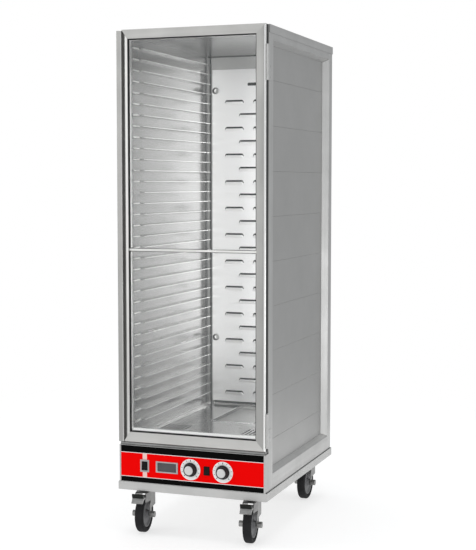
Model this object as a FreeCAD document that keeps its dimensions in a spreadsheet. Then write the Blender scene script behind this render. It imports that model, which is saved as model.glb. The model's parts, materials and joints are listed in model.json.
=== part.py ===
import FreeCAD, Part
import os
import Sketcher

# Proofing cabinet on casters: aluminium frame and planks, clear door, heater drawer below.
# +X is to the right, -Y is the door side and +Z is up. The origin is on the floor, under the
# middle of the cabinet.

doc = FreeCAD.newDocument("proofing_cabinet")

CELLS = {
    # body frame
    "body_width": 536.0,
    "body_depth": 748.0,
    "body_shift": 32.0,
    "post_top": 1733.0,
    "post_flat": 40.0,
    "recess_depth": 22.0,
    "post_bevel": 22.0,
    "rail_bevel": 12.0,
    "top_flat_height": 47.0,
    "sill_flat_top": 235.0,
    "frame_wall": 3.5,
    "lip_depth": 15.0,
    # base tray and roof
    "tray_width": 545.0,
    "tray_front_overhang": 35.0,
    "tray_rear_overhang": 4.0,
    "tray_bottom": 154.0,
    "tray_height": 28.5,
    "sheet_thickness": 3.0,
    "cap_height": 27.0,
    "cap_wall": 2.0,
    # side walls
    "plank_thickness": 12.0,
    "plank_height": 152.4,
    "planks_top": 1712.4,
    "plank_chamfer": 1.0,
    "plank_wall": 1.8,
    "ledge_pitch": 38.1,
    "ledge_reach": 21.0,
    "ledge_thickness": 2.5,
    "ledge_rise": 5.7,
    "ledge_inset": 17.0,
    "ledge_notch": 47.0,
    "ledge_root": 3.0,
    "pan_stop_width": 5.0,
    "pan_stop_depth": 6.0,
    # deck and water pan
    "deck_top": 335.0,
    "deck_sheet": 2.0,
    "pan_width": 162.0,
    "pan_length": 312.0,
    "pan_depth": 64.0,
    "pan_setback": 361.0,
    "pan_rim": 6.0,
    "pan_wall": 1.2,
    "lid_seat": 6.0,
    "lid_thickness": 1.5,
    "deck_slot_width": 6.0,
    "deck_slot_pitch": 14.5,
    "deck_slot_first": 112.0,
    "deck_slot_near": 162.0,
    "deck_slot_far": 254.0,
    "lid_drop": 10.0,
    # louvred air duct
    "duct_depth": 18.0,
    "duct_width": 417.0,
    "duct_sheet": 1.5,
    "duct_bottom": 349.0,
    "duct_top": 1664.0,
    "louvre_width": 88.0,
    "louvre_height": 14.0,
    "louvre_flank": 11.0,
    "louvre_reach": 4.0,
    "louvre_slot": 6.0,
    "louvre_pitch": 104.4,
    "louvre_column": 58.5,
    "louvre_first": 376.0,
    "top_vent_width": 124.0,
    "top_vent_low": 1595.0,
    "top_vent_height": 12.0,
    # heater and blower
    "heater_bend": 45.0,
    "heater_radius": 4.0,
    "heater_height": 245.0,
    "heater_near": 120.0,
    "heater_far": 560.0,
    "blower_left": 92.0,
    "blower_length": 66.0,
    "blower_height": 250.0,
    "blower_radius": 58.0,
    "blower_wall": 2.0,
    "blower_setback": 78.0,
    "blower_inlet": 36.0,
    "motor_radius": 36.0,
    "motor_length": 52.0,
    # control panel
    "panel_bottom": 182.5,
    "panel_top": 312.0,
    "panel_reach": 34.0,
    "fascia_width": 524.0,
    "fascia_thickness": 2.0,
    "panel_sheet": 1.5,
    "control_height": 243.0,
    "heat_knob_x": -2.0,
    "humidity_knob_x": 116.0,
    "mode_switch_x": 57.5,
    "power_switch_x": -172.0,
    "display_x": -89.0,
    "knob_radius": 24.0,
    "knob_reach": 19.0,
    "shaft_radius": 3.0,
    "switch_half_width": 11.0,
    "switch_half_height": 15.5,
    "rocker_tilt": -8.0,
    # door
    "door_bottom": 323.0,
    "door_top": 1733.0,
    "door_thickness": 36.0,
    "door_gap": 2.0,
    "grip_width": 19.0,
    "grip_channel": 13.0,
    "grip_channel_depth": 17.0,
    "stile_left_width": 22.5,
    "stile_right_width": 32.0,
    "rail_top_height": 31.0,
    "rail_bottom_height": 36.0,
    "frame_lip": 6.0,
    "rabbet": 8.0,
    "edge_strip_depth": 6.0,
    "edge_strip_margin": 7.0,
    "edge_strip_sunk": 0.5,
    "pane_thickness": 3.0,
    "crossbar_height": 989.0,
    "crossbar_width": 8.0,
    # door hinges
    "hinge_axis_x": 272.6,
    "hinge_axis_back": 31.0,
    "hinge_radius": 4.3,
    "hinge_pin_radius": 2.5,
    "hinge_length": 116.0,
    "hinge_low": 335.0,
    "hinge_high": 1551.0,
    # casters
    "wheel_radius": 63.5,
    "wheel_width": 30.0,
    "caster_trail": 38.0,
    "caster_x": 198.0,
    "caster_front_inset": 44.0,
    "caster_rear_inset": 65.0,
    "front_caster_turn": 6.0,
    "kingpin_radius": 6.0,
    "axle_radius": 5.0,
    "plate_thickness": 3.0,
    "fork_drop": 7.0,
    "pedal_hinge_reach": 68.0,
    "pedal_hinge_height": 132.0,
    "pedal_pin_radius": 2.5,
    # screw heads
    "thumb_screw_x": 193.0,
    "thumb_screw_radius": 13.0,
    "thumb_screw_reach": 9.0,
    "thumb_screw_low": 604.0,
    "thumb_screw_high": 1578.0,
    # clearances
    "running_gap": 0.05,
    "fit_gap": 0.3,
}

sheet = doc.addObject("Spreadsheet::Sheet", "Sheet")
for row, (alias, number) in enumerate(CELLS.items(), 1):
    sheet.set(f"A{row}", alias.replace("_", " "))
    sheet.set(f"B{row}", str(number))
    sheet.setAlias(f"B{row}", alias)
doc.recompute()


class Size:
    """A length known both as a number and as a formula on the sheet's cells."""

    def __init__(self, value, text):
        self.value = value
        self.text = text

    def __add__(self, other):
        other = size(other)
        return Size(self.value + other.value, f"({self.text} + {other.text})")

    def __sub__(self, other):
        other = size(other)
        return Size(self.value - other.value, f"({self.text} - {other.text})")

    def __mul__(self, other):
        other = size(other)
        return Size(self.value * other.value, f"({self.text} * {other.text})")

    def __truediv__(self, other):
        other = size(other)
        return Size(self.value / other.value, f"({self.text} / {other.text})")

    def __neg__(self):
        return Size(-self.value, f"(0 - {self.text})")

    def __radd__(self, other):
        return size(other) + self

    def __rsub__(self, other):
        return size(other) - self

    def __rmul__(self, other):
        return size(other) * self


def size(number):
    """Any number or Size as a Size."""
    return number if isinstance(number, Size) else Size(float(number), f"{number:.4f}")


def cell(alias):
    return Size(float(sheet.get(alias)), f"Sheet.{alias}")


nodes = {}


def node(label, solid):
    """Names an object as one sub-part of the cabinet."""
    solid.Label = label
    nodes[label] = solid
    return solid


# Plain shapes

def box(label, x, y, z):
    """A block given by its two limits along each axis."""
    block = doc.addObject("Part::Box", label)
    for side, axis, (low, high) in zip(("Length", "Width", "Height"), "xyz", (x, y, z)):
        block.setExpression(side, (size(high) - low).text)
        block.setExpression(f"Placement.Base.{axis}", size(low).text)
    return block


TURNS = {
    "x": FreeCAD.Rotation(FreeCAD.Vector(0, 1, 0), 90),
    "y": FreeCAD.Rotation(FreeCAD.Vector(1, 0, 0), -90),
    "z": FreeCAD.Rotation(),
}


def rod(label, axis, foot, radius, length):
    """A cylinder from its foot point along +X, +Y or +Z."""
    cylinder = doc.addObject("Part::Cylinder", label)
    cylinder.Placement = FreeCAD.Placement(FreeCAD.Vector(), TURNS[axis])
    cylinder.setExpression("Radius", size(radius).text)
    cylinder.setExpression("Height", size(length).text)
    for letter, place in zip("xyz", foot):
        cylinder.setExpression(f"Placement.Base.{letter}", size(place).text)
    return cylinder


def about_z(angle):
    return FreeCAD.Rotation(FreeCAD.Vector(0, 0, 1), angle)


def fuse(label, *solids):
    joined = doc.addObject("Part::MultiFuse", label)
    joined.Shapes = list(solids)
    return joined


def group(label, *solids):
    """Separate solids that share one name."""
    together = doc.addObject("Part::Compound", label)
    together.Links = list(solids)
    return together


def cut(label, base, *tools):
    trimmed = doc.addObject("Part::Cut", label)
    trimmed.Base = base
    trimmed.Tool = tools[0] if len(tools) == 1 else fuse(label + "_tools", *tools)
    return trimmed


def origin_plane(body, role):
    return next(f for f in body.Origin.OriginFeatures if f.Role == role)


def draw(sketch, corners):
    """Adds a closed outline of straight edges, each corner tied to the sheet's cells."""
    first = sketch.GeometryCount
    count = len(corners)
    points = [FreeCAD.Vector(size(u).value, size(v).value, 0) for u, v in corners]
    edges = [Part.LineSegment(points[i], points[(i + 1) % count]) for i in range(count)]
    sketch.addGeometry(edges, False)
    ties, formulas = [], []
    for i, corner in enumerate(corners):
        ties.append(Sketcher.Constraint("Coincident", first + i, 2, first + (i + 1) % count, 1))
        for kind, place in zip(("DistanceX", "DistanceY"), corner):
            formulas.append((len(ties), size(place).text))
            ties.append(Sketcher.Constraint(kind, -1, 1, first + i, 1, size(place).value))
    start = sketch.ConstraintCount
    sketch.addConstraint(ties)
    for offset, text in formulas:
        sketch.setExpression(f"Constraints[{start + offset}]", text)


def prism(label, plane, outline, low, high, holes=()):
    """An outline on the XY, XZ or YZ plane, padded between two limits on the third axis."""
    body = doc.addObject("PartDesign::Body", label)
    sketch = body.newObject("Sketcher::SketchObject", label + "_outline")
    sketch.AttachmentSupport = (origin_plane(body, plane + "_Plane"), [""])
    sketch.MapMode = "FlatFace"
    near = -size(high) if plane == "XZ" else size(low)  # the XZ plane's normal is -Y
    sketch.setExpression("AttachmentOffset.Base.z", near.text)
    for wire in (outline,) + tuple(holes):
        draw(sketch, wire)
    pad = body.newObject("PartDesign::Pad", label + "_pad")
    pad.Profile = sketch
    pad.setExpression("Length", (size(high) - low).text)
    body.Tip = pad
    return body


def turned(label, profile, axis, place):
    """A profile of (distance along the axis, radius) points, revolved and set at its place."""
    body = doc.addObject("PartDesign::Body", label)
    sketch = body.newObject("Sketcher::SketchObject", label + "_profile")
    sketch.AttachmentSupport = (origin_plane(body, "XY_Plane"), [""])
    sketch.MapMode = "FlatFace"
    draw(sketch, profile)
    spin = body.newObject("PartDesign::Revolution", label + "_spin")
    spin.Profile = sketch
    spin.ReferenceAxis = (sketch, ["H_Axis"])
    spin.Angle = 360.0
    body.Tip = spin
    toward = {
        "x": FreeCAD.Rotation(),
        "y": about_z(90),
        "-y": about_z(-90),
    }[axis]
    body.Placement = FreeCAD.Placement(FreeCAD.Vector(), toward)
    for letter, where in zip("xyz", place):
        body.setExpression(f"Placement.Base.{letter}", size(where).text)
    return body


# Reference planes

half = cell("body_width") / 2
front = cell("body_shift") - cell("body_depth") / 2
rear = cell("body_shift") + cell("body_depth") / 2
recess = half - cell("recess_depth")
inner = recess - cell("plank_thickness")
tray_floor = cell("tray_bottom") + cell("sheet_thickness")
flat = cell("post_flat")
deck = cell("deck_top")
back_sheet = rear - cell("recess_depth") - cell("sheet_thickness")
SIDES = (("left", -1), ("right", 1))


def corner_outline(side, face, way, rows):
    """Turns (inward from the side, inward from the face) pairs into X, Y corners."""
    return [((half - a) * side, size(face) + size(b) * way) for a, b in rows]


# Body frame

def side_rails():
    """Top and sill rails of both sides: flat outside, bevelled towards the planks."""
    flat_low = cell("post_top") - cell("top_flat_height")
    wall = cell("frame_wall")
    rails = []
    for name, side in SIDES:
        out, back = half * side, recess * side
        core = (half - wall) * side
        core_back = (recess + wall) * side
        outline = [(out, cell("post_top")), (out, flat_low),
                   (back, flat_low - cell("rail_bevel")), (back, cell("post_top"))]
        hole = [(core, cell("post_top") - wall), (core, flat_low + 2),
                (core_back, flat_low - cell("rail_bevel") + 6), (core_back, cell("post_top") - wall)]
        rails.append(prism(f"top_rail_{name}", "XZ", outline, front + flat, rear - flat, [hole]))
        sill_top = cell("sill_flat_top")
        outline = [(out, tray_floor), (out, sill_top),
                   (back, sill_top + cell("rail_bevel")), (back, tray_floor)]
        hole = [(core, tray_floor + wall), (core, sill_top - 2),
                (core_back, sill_top + cell("rail_bevel") - 6), (core_back, tray_floor + wall)]
        rails.append(prism(f"sill_rail_{name}", "XZ", outline, front + flat, rear - flat, [hole]))
    return group("side_rails", *rails)


def cross_rails():
    """Header and sill across the front, and the bevelled top and bottom rails of the back."""
    wall = cell("frame_wall")
    flat_low = cell("post_top") - cell("top_flat_height")
    inside = (front, front + cell("lip_depth"))
    reach = half - cell("recess_depth") - cell("plank_thickness")
    header = box("header", (-reach, reach), inside, (1702, cell("post_top")))
    sill = box("front_sill", (-reach, reach), inside, (cell("panel_top") + 1, deck - cell("deck_sheet")))
    span = half - flat
    back = rear - cell("recess_depth")
    top = [(rear, cell("post_top")), (rear, flat_low),
           (back, flat_low - cell("rail_bevel")), (back, cell("post_top"))]
    top_hole = [(rear - wall, cell("post_top") - wall), (rear - wall, flat_low + 2),
                (back + wall, flat_low - cell("rail_bevel") + 6), (back + wall, cell("post_top") - wall)]
    sill_top = cell("sill_flat_top")
    low = [(rear, tray_floor), (rear, sill_top),
           (back, sill_top + cell("rail_bevel")), (back, tray_floor)]
    low_hole = [(rear - wall, tray_floor + wall), (rear - wall, sill_top - 2),
                (back + wall, sill_top + cell("rail_bevel") - 6), (back + wall, tray_floor + wall)]
    return group(
        "cross_rails", header, sill,
        prism("rear_top_rail", "YZ", top, -span, span, [top_hole]),
        prism("rear_sill_rail", "YZ", low, -span, span, [low_hole]))


def front_post(label, side, mitres):
    """Corner post at the door side: its lip covers the front ends of the planks."""
    depth, bevel, wall = cell("recess_depth"), cell("post_bevel"), cell("frame_wall")
    lip, thick = cell("lip_depth"), cell("plank_thickness")
    outline = corner_outline(side, front, 1, [
        (0, 0), (0, flat), (depth, flat + bevel), (depth, lip),
        (depth + thick, lip), (depth + thick, 0)])
    hole = corner_outline(side, front, 1, [
        (wall, wall), (wall, flat - 2), (depth - wall, flat + bevel - 9), (depth - wall, wall)])
    bar = prism(label + "_bar", "XY", outline, tray_floor, cell("post_top"), [hole])
    return cut(label, bar, mitres)


def rear_post(label, side, mitres):
    """Corner post at the back: bevelled on both of its outer sides."""
    depth, bevel, wall = cell("recess_depth"), cell("post_bevel"), cell("frame_wall")
    outline = corner_outline(side, rear, -1, [
        (0, 0), (0, flat), (depth, flat + bevel), (depth, depth), (flat + bevel, depth), (flat, 0)])
    hole = corner_outline(side, rear, -1, [
        (wall, wall), (wall, flat - 2), (depth - wall, flat + bevel - 9),
        (depth - wall, depth - wall), (flat + bevel - 9, depth - wall), (flat - 2, wall)])
    bar = prism(label + "_bar", "XY", outline, tray_floor, cell("post_top"), [hole])
    return cut(label, bar, mitres)


def mitre_blocks():
    """Full rail sections that the posts are cut back from, so bevels meet in a mitre."""
    flat_low = cell("post_top") - cell("top_flat_height")
    sill_top = cell("sill_flat_top")
    blocks = []
    for name, side in SIDES:
        out, back = half * side, recess * side
        top = [(out, cell("post_top")), (out, flat_low),
               (back, flat_low - cell("rail_bevel")), (back, cell("post_top"))]
        low = [(out, tray_floor), (out, sill_top),
               (back, sill_top + cell("rail_bevel")), (back, tray_floor)]
        for level, outline in (("top", top), ("low", low)):
            blocks.append(prism(f"side_mitre_{level}_{name}", "XZ", outline, front + flat, rear - flat))
    span = half - flat
    back = rear - cell("recess_depth")
    top = [(rear, cell("post_top")), (rear, flat_low),
           (back, flat_low - cell("rail_bevel")), (back, cell("post_top"))]
    low = [(rear, tray_floor), (rear, sill_top),
           (back, sill_top + cell("rail_bevel")), (back, tray_floor)]
    blocks.append(prism("rear_mitre_top", "YZ", top, -span, span))
    blocks.append(prism("rear_mitre_low", "YZ", low, -span, span))
    return group("mitre_blocks", *blocks)


def base_tray():
    """Folded tray that carries the cabinet and the casters."""
    wide, wall = cell("tray_width") / 2, cell("sheet_thickness")
    near, far = front - cell("tray_front_overhang"), rear + cell("tray_rear_overhang")
    low, top = cell("tray_bottom"), cell("tray_bottom") + cell("tray_height")
    shell = box("tray_shell", (-wide, wide), (near, far), (low, top))
    hollow = box("tray_hollow", (wall - wide, wide - wall), (near + wall, far - wall),
                 (low + wall, top + 1))
    return cut("base_tray", shell, hollow)


def roof_cap():
    """Folded sheet cap over the posts, open at the door side."""
    wall, top = cell("cap_wall"), cell("post_top") + cell("cap_wall")
    low = top - cell("cap_height")
    shell = box("cap_shell", (-half - wall, half + wall), (front, rear + wall), (low, top))
    hollow = box("cap_hollow", (-half, half), (front - 1, rear), (low - 1, cell("post_top")))
    return cut("roof_cap", shell, hollow)


def roof_plank():
    """Hollow ceiling of the chamber, on top of the side planks."""
    low, wall = cell("planks_top"), cell("plank_wall")
    high = low + cell("plank_thickness")
    outline = [(-recess, low), (recess, low), (recess, high), (-recess, high)]
    hole = [(-recess + wall, low + wall), (recess - wall, low + wall),
            (recess - wall, high - wall), (-recess + wall, high - wall)]
    return prism("ceiling_panel", "XZ", outline, front + cell("lip_depth"), rear - cell("recess_depth"),
                 [hole])


# Side walls and pan ledges

PLANKS = 9
LEDGES_PER_PLANK = 4
duct_face = back_sheet - cell("duct_depth")
pan_stop_face = duct_face - cell("pan_stop_depth")


def from_wall(side, reach):
    """X limits of a piece that stands out from the lining of one side."""
    wall, tip = inner * side, (inner - reach) * side
    return (wall, tip) if side < 0 else (tip, wall)


def wall_planks():
    """Hollow planks of both sides, with one more behind each sill rail."""
    ends = (front + cell("lip_depth"), rear - cell("recess_depth"))
    chamfer, wall = cell("plank_chamfer"), cell("plank_wall")
    planks = []
    for name, side in SIDES:
        out, back = recess * side, inner * side
        bevel = (recess - chamfer) * side
        for i in range(PLANKS + 1):
            high = cell("planks_top") - cell("plank_height") * i
            low = high - cell("plank_height") if i < PLANKS else tray_floor
            outline = [(back, low), (bevel, low), (out, low + chamfer),
                       (out, high - chamfer), (bevel, high), (back, high)]
            lining, skin = (inner + wall) * side, (recess - wall) * side
            hole = [(lining, low + wall), (skin, low + wall), (skin, high - wall), (lining, high - wall)]
            planks.append(prism(f"plank_{name}_{i}", "XZ", outline, *ends, [hole]))
    return group("wall_planks", *planks)


def pan_ledges():
    """Ledges that carry the sheet pans by their rims, cut back to a short root at the door."""
    start, stop = front + cell("ledge_inset"), pan_stop_face
    ledges = []
    for name, side in SIDES:
        for i in range(PLANKS * LEDGES_PER_PLANK):
            plank_low = cell("planks_top") - cell("plank_height") * (1 + i // LEDGES_PER_PLANK)
            high = plank_low + cell("ledge_rise") + cell("ledge_pitch") * (i % LEDGES_PER_PLANK)
            across = from_wall(side, cell("ledge_reach"))
            height = (high - cell("ledge_thickness"), high)
            root = box(f"ledge_root_{name}_{i}", from_wall(side, cell("ledge_root")),
                       (start, start + cell("ledge_notch")), height)
            fin = box(f"ledge_fin_{name}_{i}", across, (start + cell("ledge_notch"), stop), height)
            ledges.append(fuse(f"ledge_{name}_{i}", root, fin))
    return group("pan_ledges", *ledges)


def pan_stops():
    """Upright bars at the back end of the ledges."""
    bars = [box(f"pan_stop_{name}", from_wall(side, cell("pan_stop_width")), (pan_stop_face, duct_face),
                (deck, cell("planks_top"))) for name, side in SIDES]
    return group("pan_stops", *bars)


# Back wall and air duct

def rear_panel():
    """Back sheet with the cut-out of the power inlet."""
    panel = box("rear_sheet", (-inner, inner), (back_sheet, back_sheet + cell("sheet_thickness")),
                (tray_floor, cell("planks_top")))
    hole = box("inlet_hole", (-189, -141), (back_sheet - 1, back_sheet + cell("sheet_thickness") + 1),
               (276, 304))
    return cut("rear_panel", panel, hole)


def power_inlet():
    """Recessed appliance inlet with its three blades."""
    face = back_sheet + cell("sheet_thickness")
    flange = box("inlet_flange", (-196, -134), (face, face + 3), (270, 310))
    shell = box("inlet_shell", (-188.5, -141.5), (face - 22, face), (276.5, 303.5))
    well = box("inlet_well", (-181, -149), (face - 18, face + 4), (281, 299))
    blades = [box(f"inlet_blade_{i}", (x - 1, x + 1), (face - 18, face - 1), (z - 3, z + 3))
              for i, (x, z) in enumerate(((-175, 287), (-155, 287), (-165, 294)))]
    return fuse("power_inlet", cut("inlet_socket", fuse("inlet_body", flange, shell), well), *blades)


LOUVRE_ROWS = 12


def louvre_places():
    """Centre X and lower Z of each louvre: five staggered columns."""
    for column in range(-2, 3):
        offset = 0 if column % 2 == 0 else 0.5
        for row in range(LOUVRE_ROWS - (column % 2)):
            height = cell("louvre_first") + cell("louvre_pitch") * (row + offset)
            yield cell("louvre_column") * column, height


def louvre_hood(label, x, z):
    """A swelling of the duct's sheet, below the slot that it shields."""
    hood = doc.addObject("Part::Wedge", label)
    width, tall, slope = cell("louvre_width"), cell("louvre_height"), cell("louvre_flank")
    limits = {"Xmin": 0, "Xmax": width, "X2min": slope, "X2max": width - slope,
              "Ymin": 0, "Ymax": cell("louvre_reach"),
              "Zmin": 0, "Zmax": tall, "Z2min": tall / 2, "Z2max": tall}
    for name, value in limits.items():
        hood.setExpression(name, size(value).text)
    hood.Placement = FreeCAD.Placement(FreeCAD.Vector(), about_z(180))
    for letter, where in zip("xyz", (x + width / 2, duct_face, z)):
        hood.setExpression(f"Placement.Base.{letter}", size(where).text)
    return hood


def duct_panel():
    """Louvred channel in front of the back sheet, which spreads the warm air."""
    wide, wall = cell("duct_width") / 2, cell("duct_sheet")
    outline = [(-wide, duct_face), (wide, duct_face), (wide, back_sheet), (wide - wall, back_sheet),
               (wide - wall, duct_face + wall), (-wide + wall, duct_face + wall),
               (-wide + wall, back_sheet), (-wide, back_sheet)]
    channel = prism("duct_channel", "XY", outline, cell("duct_bottom"), cell("duct_top"))
    through = (duct_face - 1, duct_face + wall + 1)
    half_slot = cell("louvre_width") / 2 - cell("louvre_flank")
    hoods, slots = [], []
    for i, (x, z) in enumerate(louvre_places()):
        hoods.append(louvre_hood(f"hood_{i}", x, z))
        foot = z + cell("louvre_height")
        slots.append(box(f"slot_{i}", (x - half_slot, x + half_slot), through,
                         (foot, foot + cell("louvre_slot"))))
    half_vent, vent_low = cell("top_vent_width") / 2, cell("top_vent_low")
    slots.append(box("top_vent", (-half_vent, half_vent), through,
                     (vent_low, vent_low + cell("top_vent_height"))))
    return cut("duct_panel", fuse("duct_body", channel, *hoods), group("duct_slots", *slots))


# Deck, water pan and its lid

DECK_SLOTS = 7

def pan_limits(grow):
    """X and Y limits of the water pan, grown outward by a margin."""
    near = front + cell("pan_setback")
    wide = cell("pan_width") / 2
    return (-wide - grow, wide + grow), (near - grow, near + cell("pan_length") + grow)


def deck_panel():
    """Chamber floor: return-air slots at both front corners and the water pan's cut-out."""
    low = deck - cell("deck_sheet")
    plate = box("deck_plate", (-inner, inner), (front, back_sheet), (low, deck))
    through = (low - 1, deck + 1)
    left = cell("blower_left") + 3
    tools = [box("pan_cutout", *pan_limits(1), through),
             box("blower_outlet", (left, left + 60), (back_sheet - 16, back_sheet - 3), through)]
    ends = (front + cell("deck_slot_near"), front + cell("deck_slot_far"))
    half_slot = cell("deck_slot_width") / 2
    for name, side in SIDES:
        for i in range(DECK_SLOTS):
            middle = (cell("deck_slot_first") + cell("deck_slot_pitch") * i) * side
            across = (middle - half_slot, middle + half_slot)
            tools.append(box(f"deck_slot_{name}_{i}", across, ends, through))
    return cut("deck_panel", plate, *tools)


def water_pan():
    """Lift-out pan with a rim on the deck and a step inside for its lid."""
    wall, rim_low = cell("pan_wall"), deck + cell("fit_gap")
    low, step = deck - cell("pan_depth"), deck - cell("lid_drop") - cell("lid_thickness")
    rim = box("pan_rim", *pan_limits(cell("pan_rim")), (rim_low, rim_low + wall))
    tub = box("pan_tub", *pan_limits(0), (low, rim_low))
    upper = box("pan_upper", *pan_limits(-wall), (step, deck + 3))
    lower = box("pan_lower", *pan_limits(-wall - cell("lid_seat")), (low + wall, step + 1))
    return cut("water_pan", fuse("pan_solid", rim, tub), upper, lower)


def water_pan_lid():
    """Flat lid set below the rim, with a finger hole at its front right corner."""
    low = deck - cell("lid_drop") - cell("lid_thickness") + cell("fit_gap")
    limits = pan_limits(-cell("pan_wall") - 0.5)
    plate = box("lid_plate", *limits, (low, low + cell("lid_thickness")))
    hole = rod("lid_hole", "z", (limits[0][1] - 9, limits[1][0] + 10, low - 1), 4, 4)
    return cut("water_pan_lid", plate, hole)


# Heater and blower under the deck

def heater_element():
    """Sheathed heating rod bent into a U under the water pan."""
    bend, thick, height = cell("heater_bend"), cell("heater_radius"), cell("heater_height")
    near, far = front + cell("heater_near"), front + cell("heater_far")
    loop = doc.addObject("Part::Torus", "heater_loop")
    loop.setExpression("Radius1", bend.text)
    loop.setExpression("Radius2", thick.text)
    loop.Angle3 = 180
    for letter, where in zip("xyz", (size(0), far, height)):
        loop.setExpression(f"Placement.Base.{letter}", where.text)
    legs = [rod(f"heater_leg_{name}", "y", (bend * side, near, height), thick, far - near)
            for name, side in SIDES]
    return fuse("heater_element", loop, *legs)


blower_left = cell("blower_left")
blower_right = blower_left + cell("blower_length")
blower_middle = (back_sheet - cell("blower_setback"), cell("blower_height"))
BLOWER_SHAFT = 4.0


def blower_housing():
    """Scroll that lifts air through the deck into the duct."""
    wall, radius = cell("blower_wall"), cell("blower_radius")
    length, height = cell("blower_length"), cell("blower_height")
    top = deck - cell("deck_sheet")
    near, far = back_sheet - 40, back_sheet - 1
    drum = rod("scroll_drum", "x", (blower_left, *blower_middle), radius, length)
    spout = box("scroll_spout", (blower_left, blower_right), (near, far), (height, top))
    drum_hollow = rod("scroll_hollow", "x", (blower_left + wall, *blower_middle),
                      radius - wall, length - wall * 2)
    spout_hollow = box("spout_hollow", (blower_left + wall, blower_right - wall),
                       (near + wall, far - wall), (height, top + 1))
    inlet = rod("scroll_inlet", "x", (blower_left - 1, *blower_middle), cell("blower_inlet"), wall + 2)
    shaft_hole = rod("scroll_shaft_hole", "x", (blower_right - wall - 1, *blower_middle),
                     BLOWER_SHAFT + 2, wall + 2)
    return cut("blower_housing", fuse("scroll_solid", drum, spout),
               drum_hollow, spout_hollow, inlet, shaft_hole)


def blower_wheel():
    """Squirrel-cage wheel with its hub and the shaft that enters the motor."""
    shaft_end = cell("blower_length") + 20
    profile = [(8, 38), (8, 46), (56, 46), (56, BLOWER_SHAFT), (shaft_end, BLOWER_SHAFT),
               (shaft_end, 0), (44, 0), (44, 10), (53, 10), (53, 38)]
    return turned("blower_wheel", profile, "x", (blower_left, *blower_middle))


def blower_motor():
    """Motor on the side of the scroll, with a bore for the wheel's shaft."""
    can = rod("motor_can", "x", (blower_right, *blower_middle), cell("motor_radius"), cell("motor_length"))
    bore = rod("motor_bore", "x", (blower_right - 1, *blower_middle),
               BLOWER_SHAFT + cell("running_gap"), 24)
    return cut("blower_motor", can, bore)


# Control panel

def control_box():
    """Folded frame of the control panel."""
    wide, clear = half, cell("fascia_width") / 2
    ends = (front - cell("panel_reach"), front)
    low, top, wall = cell("panel_bottom"), cell("panel_top"), cell("panel_sheet")
    frame = box("panel_frame", (-wide, wide), ends, (low, top))
    hollow = box("panel_hollow", (-clear, clear), (ends[0] - 1, front + 1), (low + wall, top - wall))
    return cut("control_box", frame, hollow)


def fascia_face():
    return front - cell("panel_reach") + 0.5


def fascia_panel():
    """Printed front plate with cut-outs for its controls."""
    wide, face, height = cell("fascia_width") / 2, fascia_face(), cell("control_height")
    thick, edge = cell("fascia_thickness"), cell("panel_sheet")
    plate = box("fascia_plate", (-wide, wide), (face, face + thick),
                (cell("panel_bottom") + edge, cell("panel_top") - edge))
    through = (face - 1, face + thick + 1)
    holes = [rod(f"shaft_hole_{name}", "y", (cell(f"{name}_knob_x"), face - 1, height),
                 cell("shaft_radius") + 0.5, thick + 2) for name in ("heat", "humidity")]
    switch = (cell("switch_half_width"), cell("switch_half_height"))
    for name, (across, up) in (("mode_switch", switch), ("power_switch", switch), ("display", (36, 17))):
        middle = cell(f"{name}_x")
        holes.append(box(f"{name}_hole", (middle - across, middle + across), through,
                         (height - up, height + up)))
    return cut("fascia_panel", plate, *holes)


def panel_bezels():
    """Raised frames round the display and the power switch."""
    face, height = fascia_face(), cell("control_height")
    switch = (cell("switch_half_width"), cell("switch_half_height"))
    frames = []
    for name, outer, opening in (("display", (41, 19.5), (34.5, 15)),
                                 ("power_switch", (16.5, 21.5), switch)):
        middle = cell(f"{name}_x")
        frame = box(f"{name}_frame", (middle - outer[0], middle + outer[0]), (face - 2.5, face),
                    (height - outer[1], height + outer[1]))
        window = box(f"{name}_window", (middle - opening[0], middle + opening[0]), (face - 4, face + 1),
                     (height - opening[1], height + opening[1]))
        frames.append(cut(f"{name}_bezel", frame, window))
    return group("panel_bezels", *frames)


def display_lens():
    face, middle, height = fascia_face(), cell("display_x"), cell("control_height")
    return box("lens", (middle - 35.8, middle + 35.8), (face, face + cell("fascia_thickness")),
               (height - 16.8, height + 16.8))


def knob(label, middle):
    """Round knob with a skirt, a grip and a raised cap, on its own shaft."""
    reach, radius = cell("knob_reach"), cell("knob_radius")
    shaft = cell("shaft_radius")
    profile = [(-14, 0), (-14, shaft), (0.6, shaft), (0.6, radius), (4, radius), (5, radius - 2),
               (reach - 1.5, radius - 4.5), (reach - 1.5, radius * 0.66),
               (reach, radius * 0.62), (reach, 0)]
    return turned(label, profile, "-y", (middle, fascia_face(), cell("control_height")))


def dial_controls():
    """Thermostat and humidity control, bored for their shafts, and the bodies of both switches."""
    units = []
    for name in ("heat", "humidity"):
        middle, back = cell(f"{name}_knob_x"), fascia_face() + cell("fascia_thickness")
        case = box(f"{name}_case", (middle - 18, middle + 18), (back, back + 26),
                   (cell("control_height") - 18, cell("control_height") + 18))
        bore = rod(f"{name}_bore", "y", (middle, back - 1, cell("control_height")),
                   cell("shaft_radius") + cell("running_gap"), 15)
        units.append(cut(f"{name}_control", case, bore))
    for name in ("mode_switch", "power_switch"):
        middle, back = cell(f"{name}_x"), fascia_face() + 8
        across, up = cell("switch_half_width"), cell("switch_half_height")
        units.append(box(f"{name}_body", (middle - across, middle + across), (back, back + 20),
                         (cell("control_height") - up, cell("control_height") + up)))
    return group("dial_controls", *units)


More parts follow.
